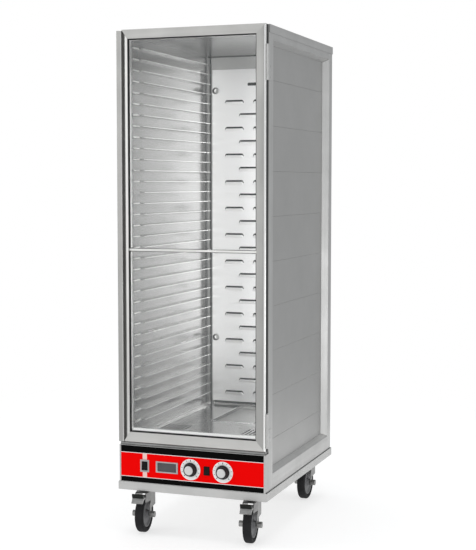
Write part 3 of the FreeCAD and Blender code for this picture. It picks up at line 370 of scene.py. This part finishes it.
# CAD nodes that keep their shape and take one look: the look, and the mm that their edges are rounded to.
# The others are finished or made anew by the functions below.
FINISHES = {
    "base_tray": ("frame_x", 1.2), "post_front_left": ("frame_z", 1.2), "post_front_right": ("frame_z", 1.2),
    "post_rear_left": ("frame_z", 1.2), "post_rear_right": ("frame_z", 1.2), "roof_cap": ("frame_y", 0.6),
    "ceiling_panel": ("lining", 0.6), "side_rails": ("frame_y", 1.0), "cross_rails": ("frame_x", 1.0),
    "rear_panel": ("back", 0.5), "pan_ledges": ("ledges", 0.7),
    "water_pan_lid": ("back", 0.4), "heater_element": ("steel", 0.4), "blower_housing": ("steel", 0.5),
    "blower_wheel": ("steel", 0.4), "blower_motor": ("black", 1.5), "power_inlet": ("black", 0.6),
    "control_box": ("frame_x", 0.5), "panel_bezels": ("bezel", 0.9), "display_lens": ("screen", 0.2),
    "dial_controls": ("black", 1.0), "rocker_power": ("matt_black_painted_shade", 1.0), "rocker_mode": ("matt_black_painted_shade", 1.0),
    "door_rail_top": ("door_x", 1.4), "door_crossbar": ("painted_highlight", 0.6),
    "pane_upper": ("glass", 0.2), "pane_lower": ("glass", 0.2), "glazing_seals": ("seal", 0.3),
    "glazing_bead": ("bright_bead_highlight", 0.5), "door_gasket": ("seal", 0.4), "door_hinge_leaves": ("zinc", 0.6),
    "frame_hinge_leaves": ("zinc", 0.6), "caster_plates": ("zinc", 0.8),
    "caster_fork_front_left": ("fork", 0.9), "caster_fork_front_right": ("fork", 0.9),
    "caster_fork_rear_left": ("fork", 0.9), "caster_fork_rear_right": ("fork", 0.9),
    "brake_pedal_front_left": ("pedal", 0.9), "brake_pedal_front_right": ("pedal", 0.9),
}
for part, (look, width) in FINISHES.items():
    refined(part, look, width * MM)


# Side planks

def planks():
    """Nine planks a side and a plain one behind each sill rail, all glossier on the chamber's side."""
    low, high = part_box("wall_planks")
    thick, pitch, count = 12 * MM, 152.4 * MM, 9
    limits = []
    for left, right in ((low.x, low.x + thick), (high.x - thick, high.x)):
        for i in range(count + 1):
            top = high.z - pitch * i
            bottom = top - pitch if i < count else low.z
            limits.append(((left, low.y, bottom), (right, high.y, top)))
    obj = blocks("wall_planks_finished", limits, 1.1 * MM)
    finish_piece(obj, "planks", "cabinet", ["wall_planks"])
    accent(obj, "lining", lambda face: face.normal.x * face.center.x < -TINY)


def stops():
    """Pan stop bars in the dark fork metal, with painted shade on the edge that faces the door."""
    accent(refined("pan_stops", "fork", 0.7 * MM), "dark_painted_shade", lambda face: face.normal.y < -0.5)


planks()
stops()


# Louvred duct

def louvres():
    """Centre X and lower Z of every louvre: five staggered columns, evenly spaced."""
    low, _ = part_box("duct_panel")
    first, pitch, column = low.z + 27 * MM, 104.4 * MM, 58.5 * MM
    for i in range(-2, 3):
        odd = i % 2
        for row in range(12 - odd):
            yield column * i, first + pitch * (row + 0.5 * odd)


# Outlines in mm: a louvre's slot, from its hood's top edge, and the vent near the duct's top, from its foot.
SLOT_SHAPE = [(-31, 5), (31, 5), (35.5, 3.5), (41, -5.5), (37.5, -7.5), (33, -1), (30, -2), (-30, -2),
              (-33, -1), (-37.5, -7), (-39.5, -5.5), (-35.5, 3.5)]
VENT_SHAPE = [(-62, 3), (-59, 0), (59, 0), (62, 3), (62, 9), (59, 12), (-59, 12), (-62, 9)]
HOOD_WIDE, HOOD_TALL, HOOD_RISE = 76 * MM, 12 * MM, 1.2 * MM
HOOD_REACH = 4 * MM                   # how far the CAD's hoods stand in front of the duct's face
DUCT_WALL = 1.5 * MM
SCREW_X = 193 * MM
SCREWS = {f"{side}_{level}": (x, z * MM) for side, x in (("left", -SCREW_X), ("right", SCREW_X))
          for level, z in (("low", 604), ("high", 1578))}


def rectangle(left, right, near, far):
    """An outline's four corners."""
    return [(left, near), (right, near), (right, far), (left, far)]


def flat_sheet(outlines, wall):
    """A filled plate in a bmesh: the first outline is its edge, the others are holes in it."""
    curve = bpy.data.curves.new("outlines", "CURVE")
    curve.dimensions = "2D"
    curve.fill_mode = "BOTH"
    curve.extrude = wall / 2
    for outline in outlines:
        spline = curve.splines.new("POLY")
        spline.points.add(len(outline) - 1)
        for point, place in zip(spline.points, outline):
            point.co = (*place, 0, 1)
        spline.use_cyclic_u = True
    holder = bpy.data.objects.new("outlines", curve)
    mesh = bpy.data.meshes.new_from_object(holder)
    bpy.data.objects.remove(holder)
    bm = bmesh.new()
    bm.from_mesh(mesh)
    bmesh.ops.remove_doubles(bm, verts=bm.verts[:], dist=WELD)
    return bm


def duct():
    """Folded sheet with louvre slots, a vent and screw holes, and a black sheet close behind it as painted
    shade in the slots.
    """
    low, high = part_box("duct_panel")
    top_gap, hole, vent = 4 * MM, 12 * MM, low.z + 1246 * MM
    high.z -= top_gap
    face = low.y + HOOD_REACH
    turns = [i * math.pi / 16 for i in range(32)]
    outlines = [rectangle(low.x, high.x, low.z, high.z)]
    outlines += [[(x + u * MM, z + HOOD_TALL + v * MM) for u, v in SLOT_SHAPE] for x, z in louvres()]
    outlines += [[(x + hole * math.cos(turn), z + hole * math.sin(turn)) for turn in turns]
                 for x, z in SCREWS.values()]
    outlines.append([(u * MM, vent + v * MM) for u, v in VENT_SHAPE])
    bm = flat_sheet(outlines, DUCT_WALL)
    for vert in bm.verts:
        vert.co = (vert.co.x, face + DUCT_WALL / 2 - vert.co.z, vert.co.y)
    for x in (low.x, high.x - DUCT_WALL):
        for vert in bmesh.ops.create_cube(bm, size=1.0)["verts"]:
            vert.co = (x + (vert.co.x + 0.5) * DUCT_WALL,
                       face + DUCT_WALL if vert.co.y < 0 else high.y, low.z if vert.co.z < 0 else high.z)
    sheet = from_bmesh("duct_sheet_pressed", bm)
    finish_piece(sheet, "duct", "cabinet", ["duct_panel"])
    # A black sheet behind the slots: painted shade where the duct's inside is in shade.
    half, near, far, inset = 165 * MM, face + 4 * MM, face + 5 * MM, 3 * MM
    shade_sheet = ((-half, near, low.z + inset), (half, far, high.z - inset))
    finish_piece(blocks("duct_painted_shade_sheet", [shade_sheet], 0.2 * MM, 1), "matt_black_painted_shade", "cabinet")


def hoods():
    """A shallow pressed swelling below each louvre's slot, with its two ends drawn down."""
    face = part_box("duct_panel")[0].y + HOOD_REACH
    across, up = 24, 8
    flank_steepness, droop_start, droop_depth = 4, 0.84, 6 * MM
    proud, slot_gap = 0.05 * MM, 2 * MM
    bm = bmesh.new()
    for x, z in louvres():
        rows = []
        for j in range(up + 1):
            v = j / up
            row = []
            for i in range(across + 1):
                u = 2 * i / across - 1
                flank = min(1.0, (1 - abs(u)) * flank_steepness)
                swell = (0.5 - 0.5 * math.cos(math.pi * v)) * (0.5 - 0.5 * math.cos(math.pi * flank))
                droop = droop_depth * max(0.0, abs(u) - droop_start) / (1 - droop_start)
                row.append(bm.verts.new((x + u * HOOD_WIDE / 2, face - HOOD_RISE * swell - proud,
                                         z + v * (HOOD_TALL - slot_gap - droop))))
            rows.append(row)
        for j in range(up):
            for i in range(across):
                bm.faces.new([rows[j][i], rows[j][i + 1], rows[j + 1][i + 1], rows[j + 1][i]])
    pressed = from_bmesh("duct_louvre_hoods", bm)
    if sum(p.normal.y for p in pressed.data.polygons) > 0:
        pressed.data.flip_normals()
    thick = pressed.modifiers.new("wall", "SOLIDIFY")
    thick.thickness, thick.offset = 0.8 * MM, 1
    pressed.data.shade_smooth()
    pressed.data.set_sharp_from_angle(angle=math.radians(50))
    finish_piece(pressed, "duct", "cabinet")


def thumb_screws():
    """Deep cup-shaped heads that hold the duct, with painted shade inside, and the plain heads of all other
    screws.
    """
    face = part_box("duct_panel")[0].y + HOOD_REACH
    head_reach, below_duct = 14 * MM, 0.5
    refined("fasteners", "zinc", 0.8 * MM,
            keep=lambda p: abs(abs(p.x) - SCREW_X) > head_reach or p.z < below_duct)
    profile = in_mm([(-10, 0), (-10, 11.8), (0, 11.9), (0, 13), (8.4, 13), (9, 12.5), (8.4, 12), (-8, 11.4),
                     (-9, 10.5), (-9, 0)])

    def turned_inwards(side):
        return side.normal.y * side.center.y + side.normal.z * side.center.z < -TINY

    for name, (x, z) in SCREWS.items():
        head = lathe(f"thumb_screw_{name}", profile)
        face_the_door(head, (x, face, z))
        finish_piece(head, "zinc", "cabinet")
        accent(head, "dark_painted_shade", turned_inwards)


duct()
hoods()
thumb_screws()


# Deck and water pan

def deck():
    """Chamber floor with openings for the water pan, the blower and the return air, and black plates under
    the return-air slots as painted shade.
    """
    low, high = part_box("deck_panel")
    pan_low, pan_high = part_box("water_pan")
    rim, wall = 5 * MM, 0.9 * MM
    outlet = rectangle(95 * MM, 155 * MM, high.y - 16 * MM, high.y - 3 * MM)
    outlines = [rectangle(low.x, high.x, low.y, high.y),
                rectangle(pan_low.x + rim, pan_high.x - rim, pan_low.y + rim, pan_high.y - rim), outlet]
    first, pitch, count, half_slot = 112 * MM, 14.5 * MM, 7, 3 * MM
    near, far = low.y + 162 * MM, low.y + 254 * MM
    # Black plates under the return-air slots: painted shade where the space below the deck is in shade.
    inner, outer, margin, shade_plate_wall = 104 * MM, 206 * MM, 4 * MM, 0.8 * MM
    shade_plates = []
    for side in (-1, 1):
        for i in range(count):
            middle = (first + pitch * i) * side
            outlines.append(rectangle(middle - half_slot, middle + half_slot, near, far))
        left, right = sorted((side * inner, side * outer))
        shade_plates.append(((left, near - margin, low.z), (right, far + margin, low.z + shade_plate_wall)))
    bm = flat_sheet(outlines, wall)
    for vert in bm.verts:
        vert.co.z += high.z - wall / 2
    finish_piece(from_bmesh("deck_sheet_cut", bm), "deck", "cabinet", ["deck_panel"])
    finish_piece(blocks("return_air_painted_shade", shade_plates, 0.2 * MM, 1), "matt_black_painted_shade", "cabinet")


def pan():
    """Water pan, with painted shade on its left and right sides."""
    accent(refined("water_pan", "steel", 0.3 * MM), "dark_painted_shade", lambda face: abs(face.normal.x) > 0.7)


CHAMBER_WALL = 234 * MM               # from the middle of the chamber to the face of its planks


def from_wall(side, width):
    """Left and right X of a strip of that width against the chamber's left (-1) or right (1) wall."""
    return sorted((side * CHAMBER_WALL, side * (CHAMBER_WALL - width)))


def seams():
    """Black strips of painted shade in the back sheet's corners, at its top, and under the duct."""
    low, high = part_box("rear_panel")
    deck_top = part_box("deck_panel")[1].z
    duct_low, duct_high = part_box("duct_panel")
    corner, half_strip, depth = 222.5 * MM, 3 * MM, 2 * MM
    inset, foot_depth, foot = 4 * MM, 12 * MM, deck_top + 5 * MM
    # Painted shade: the dark gaps at the back sheet's corners, at the ceiling and under the duct are black
    # blocks.
    limits = [((side * corner - half_strip, low.y - depth, deck_top),
               (side * corner + half_strip, low.y, high.z)) for side in (-1, 1)]
    limits.append(((duct_low.x + inset, low.y - foot_depth, foot), (duct_high.x - inset, low.y, duct_low.z)))
    limits.append(((low.x, low.y - depth, high.z - 3 * MM), (high.x, low.y, high.z)))
    finish_piece(blocks("chamber_painted_shade_strips", limits, 0.3 * MM, 1), "matt_black_painted_shade", "cabinet")


def trims():
    """Strips beside the deck and at its back, and the folded lip above the control box."""
    deck_top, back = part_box("deck_panel")[1].z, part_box("rear_panel")[0].y
    duct_low, duct_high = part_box("duct_panel")
    front, width, height = -325 * MM, 20 * MM, 6.4 * MM
    rear_gap, rear_deep, rear_tall = 24 * MM, 13 * MM, 4 * MM
    strips = []
    for side in (-1, 1):
        left, right = from_wall(side, width)
        strips.append(((left, front, deck_top), (right, back - rear_gap, deck_top + height)))
    strips.append(((duct_low.x, back - rear_deep, deck_top), (duct_high.x, back, deck_top + rear_tall)))
    finish_piece(blocks("deck_trims", strips, 0.8 * MM), "ledges", "cabinet")

    low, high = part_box("control_box")
    inset, rise = 3 * MM, 9.5 * MM
    lip = ((low.x + inset, low.y + inset, high.z), (high.x - inset, high.y, high.z + rise))
    finish_piece(blocks("panel_top_lip", [lip], 2.5 * MM, 3), "fork", "cabinet")


def ledge_roots():
    """Lip on the short root at the door end of each of the 36 ledges a side, near-white as a painted
    highlight.
    """
    low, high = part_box("pan_ledges")
    length, pitch, count, width = 47 * MM, 38.1 * MM, 36, 4.5 * MM
    drop, rise = 3 * MM, 0.6 * MM
    roots = []
    for side in (-1, 1):
        left, right = from_wall(side, width)
        for i in range(count):
            height = high.z - pitch * i
            roots.append(((left, low.y, height - drop), (right, low.y + length, height + rise)))
    finish_piece(blocks("ledge_root_highlights", roots, 0.4 * MM), "bright_bead_highlight", "cabinet")


deck()
pan()
seams()
trims()
ledge_roots()


# Door members with a wide round on one edge

def front_edge(sideways, place, front):
    """A test for corners on a member's long front edge, at that place along the sideways axis (0 X, 2 Z)."""
    return lambda p: abs(p[sideways] - place) < TINY and abs(p.y - front) < TINY


def painted_highlight_face(face):
    """True on a nose, which faces both the door's front and its right: the faces that get a painted
    highlight.
    """
    slant = 0.15
    return face.normal.x > slant and face.normal.y < -slant


def noses():
    """Wide rounds on the right stile, the bottom rail and the grip, with painted highlights on the right
    stile's and the grip's noses and on the left stile's inner lip.
    """
    low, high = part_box("door_stile_right")
    stile = refined("door_stile_right", "door_z", 0.8 * MM, nose=9 * MM, nosed=front_edge(0, high.x, low.y))
    accent(stile, "bright_bead_highlight", painted_highlight_face)
    refined("door_rail_bottom", "door_foot_painted_light", 1.2 * MM, nose=4.5 * MM, nosed=front_edge(2, low.z, low.y))
    low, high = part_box("door_grip")
    grip = refined("door_grip", "door_z", 1.2 * MM, nose=3 * MM, nosed=front_edge(0, high.x, low.y))
    accent(grip, "painted_highlight", painted_highlight_face)
    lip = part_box("door_stile_left")[1].x - 7 * MM
    accent(refined("door_stile_left", "door_z", 0.8 * MM), "painted_highlight", lambda face: face.center.x > lip)


noses()


# Casters

def wheel(corner):
    """Tyre with rounded shoulders, and a moulded hub with a raised rim and boss."""
    low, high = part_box(f"caster_tyre_{corner}")
    centre = (low + high) / 2
    radius = (high.z - low.z) / 2
    turn = next(j for j in frame["joints"] if j["name"] == f"{corner}_roll")
    axis = Vector(turn["axis"])
    seat, half_width, shoulder, taper = radius - 17 * MM, 15 * MM, 7 * MM, 2 * MM
    tread = [(-half_width + taper, seat)]
    tread += arc((-half_width + shoulder, radius - shoulder), shoulder, 180, 90, 6)
    tread += [(0, radius)] + [(-a, r) for a, r in reversed(tread[1:])] + [(half_width - taper, seat)]
    tyre = lathe(f"tyre_{corner}", tread + [tread[0]], 96)
    side = in_mm([(-19, 5.1), (-19, 11), (-18, 12.5), (-11, 14), (-9, 17), (-9, 36), (-10.5, 39), (-12.5, 41),
                  (-13, 45.5)])
    hub = lathe(f"hub_{corner}", side + [(-a, r) for a, r in reversed(side)] + [side[0]], 96)
    for obj, look, kind in ((tyre, "tyre", "tyre"), (hub, "hub", "hub")):
        obj.rotation_mode = "QUATERNION"
        obj.rotation_quaternion = Vector((1, 0, 0)).rotation_difference(axis)
        obj.location = centre
        node = f"caster_{kind}_{corner}"
        finish_piece(obj, look, f"{corner}_wheel", [node])


for corner_name in ("front_left", "front_right", "rear_left", "rear_right"):
    wheel(corner_name)


# Control panel

def fascia():
    """Printed front plate: black bands at the top and foot, red between thin white lines."""
    low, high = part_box("fascia_panel")
    colours = {"black": (0.003, 0.003, 0.003), "white": (0.85, 0.83, 0.82), "red": (0.90, 0.001, 0.001),
               "pale": (0.90, 0.62, 0.58)}
    edges = [low.z, 201.0 * MM, 202.8 * MM, 285.0 * MM, 286.8 * MM, high.z]
    bands = list(zip(edges, edges[1:], ("black", "white", "red", "white", "black")))
    switch_low, switch_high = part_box("rocker_power")
    stripe_half = 8 * MM
    stripe = ((switch_low.x + switch_high.x) / 2, stripe_half, edges[2], edges[3])
    LOOKS["fascia"] = printed("fascia_print", bands, stripe, colours)
    refined("fascia_panel", "fascia", 0.25 * MM)


def dial_plate(name, place):
    """White plate on the fascia, with ticks over the knob's travel, longer at its start, middle and end."""
    plate = lathe(f"dial_plate_{name}", in_mm([(0.05, 5), (0.05, 36), (0.35, 36.4), (0.45, 36.1), (0.45, 5),
                                               (0.05, 5)]), 96)
    face_the_door(plate, place)
    finish_piece(plate, "dial", "cabinet")
    count, start, travel = 11, 225, 270
    long_tick, short_tick = (27.5, 34.0, 1.1), (30.0, 33.5, 0.8)
    foot, top = 0.45 * MM, 0.60 * MM
    bm = bmesh.new()
    for i in range(count):
        angle = math.radians(start - travel / (count - 1) * i)
        inner, outer, half_width = long_tick if i % 5 == 0 else short_tick
        out = Vector((math.cos(angle), 0, math.sin(angle)))
        across = Vector((-out.z, 0, out.x))
        for vert in bmesh.ops.create_cube(bm, size=1.0)["verts"]:
            reach = (inner if vert.co.x < 0 else outer) * MM
            proud = foot if vert.co.y > 0 else top
            vert.co = (Vector((place[0], place[1] - proud, place[2])) + out * reach
                       + across * half_width * MM * (1 if vert.co.z > 0 else -1))
    finish_piece(from_bmesh(f"dial_ticks_{name}", bm), "black", "cabinet")


def knob(name, place, reach):
    """Fluted grip with a skirt, and a silver cap that ends at reach from the fascia."""
    def flute(angle, along, radius):
        depth, count, start, stop = 0.7 * MM, 24, 6 * MM, 16.5 * MM
        return radius - (depth * (0.5 + 0.5 * math.cos(angle * count)) if start < along < stop else 0)

    side = [(-14, 0), (-14, 3), (0.6, 3), (0.6, 23.2), (1.2, 24), (3.6, 24), (4.6, 23.2), (5.4, 21.6),
            (6.6, 21.2), (12, 20.6), (16, 20), (17, 19.2), (17.5, 18), (17.3, 15.8), (17.3, 0)]
    grip = lathe(f"knob_{name}_grip", in_mm(side), 144, flute)
    edge = in_mm([(-1.2, 15.6), (-0.4, 15.2), (0, 14.2), (0, 10), (-0.2, 0)])
    cap = lathe(f"knob_{name}_cap", in_mm([(17.3, 0), (17.3, 15.6)])
                + [(reach + along, radius) for along, radius in edge], 96)
    for obj, look, slot in ((grip, "black", "black_plastic"), (cap, "cap_silver", "zinc_steel")):
        face_the_door(obj, place)
        finish_piece(obj, look, f"{name}_dial")
    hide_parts(f"knob_{name}")


def dial(name):
    """A knob over its dial plate."""
    low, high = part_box(f"knob_{name}")
    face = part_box("fascia_panel")[0].y
    place = ((low.x + high.x) / 2, face, (low.z + high.z) / 2)
    dial_plate(name, place)
    knob(name, place, face - low.y)


fascia()
for dial_name in ("heat", "humidity"):
    dial(dial_name)


# Floor, light and camera

def floor():
    """Pale floor that fades out before its edge."""
    radius, below, fade_start, fade_end = 5.0, 0.2 * MM, 0.9, 3.2
    bpy.ops.mesh.primitive_circle_add(vertices=96, radius=radius, fill_type="NGON", location=(0, 0, -below))
    obj = bpy.context.object
    obj.name = "floor"
    material, tree, bsdf = shader("pale_floor")
    bsdf.inputs["Base Color"].default_value = (0.42, 0.42, 0.42, 1)
    bsdf.inputs["Roughness"].default_value = 0.9
    bsdf.inputs["Emission Color"].default_value = (1, 1, 1, 1)
    bsdf.inputs["Emission Strength"].default_value = 0.66
    place = add(tree, "ShaderNodeTexCoord")
    reach = add(tree, "ShaderNodeVectorMath", operation="LENGTH", _0=place.outputs["Object"])
    fade = add(tree, "ShaderNodeMapRange", Value=reach.outputs["Value"], From_Min=fade_start,
               From_Max=fade_end, To_Min=1.0, To_Max=0.0)
    fade.interpolation_type = "SMOOTHERSTEP"
    tree.links.new(fade.outputs["Result"], bsdf.inputs["Alpha"])
    obj.data.materials.append(material)


def world():
    """White to the camera, and a soft grey dome for the light."""
    scene_world = bpy.data.worlds.new("studio")
    bpy.context.scene.world = scene_world
    scene_world.use_nodes = True
    tree = scene_world.node_tree
    tree.nodes.clear()
    path = add(tree, "ShaderNodeLightPath")
    seen = add(tree, "ShaderNodeBackground", Color=(1, 1, 1, 1), Strength=1.0)
    dome = add(tree, "ShaderNodeBackground", Color=(0.97, 0.985, 1.0, 1), Strength=0.55)
    mixed = add(tree, "ShaderNodeMixShader", Fac=path.outputs["Is Camera Ray"], _1=dome.outputs[0],
                _2=seen.outputs[0])
    add(tree, "ShaderNodeOutputWorld", Surface=mixed.outputs[0])


def softbox(name, place, target, size, power):
    """A rectangular light of a size in metres and a power in watts, aimed at a target."""
    data = bpy.data.lights.new(name, "AREA")
    data.shape = "RECTANGLE"
    data.size, data.size_y = size
    data.energy = power
    light = bpy.data.objects.new(name, data)
    light.location = place
    light.rotation_euler = (Vector(target) - Vector(place)).to_track_quat("-Z", "Y").to_euler()
    bpy.context.scene.collection.objects.link(light)


def camera():
    """Camera in front and to the right, placed from the roof's middle and set back a little by framing."""
    roof_low, roof_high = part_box("roof_cap")
    middle, framing = (roof_low.y + roof_high.y - 2 * MM) / 2, 0.017
    data = bpy.data.cameras.new("camera")
    data.sensor_width = 36.0
    data.lens = 81.14
    data.clip_end = 60.0
    obj = bpy.data.objects.new("camera", data)
    obj.location = (1.5867, -4.2392 + middle - framing, 1.2135)
    toward = Vector((-0.34437, 0.93596, -0.07335))
    obj.rotation_euler = toward.to_track_quat("-Z", "Y").to_euler()
    bpy.context.scene.collection.objects.link(obj)
    bpy.context.scene.camera = obj


floor()
world()
softbox("front", (-2.0, -5.2, 1.9), (0, 0, 1.0), (4.5, 4.0), 48)
softbox("side", (-4.4, -1.6, 2.4), (0, 0, 0.9), (2.4, 2.4), 50)
softbox("fill", (3.5, 0.6, 1.9), (0.2, 0.1, 0.8), (2.2, 2.5), 14)
softbox("strip", (2.7, -4.3, 1.2), (0.27, -0.37, 1.0), (0.5, 2.4), 3)
softbox("low", (3.2, -0.6, 0.45), (0.27, 0, 0.25), (2.4, 0.7), 9)
softbox("top", (0, 0.2, 4.2), (0, 0, 0), (3.0, 3.0), 60)
softbox("chamber", (0.06, -0.28, 1.05), (-0.04, 0.4, 1.05), (0.30, 1.3), 4.4)
camera()
bpy.context.scene.view_settings.view_transform = "Standard"
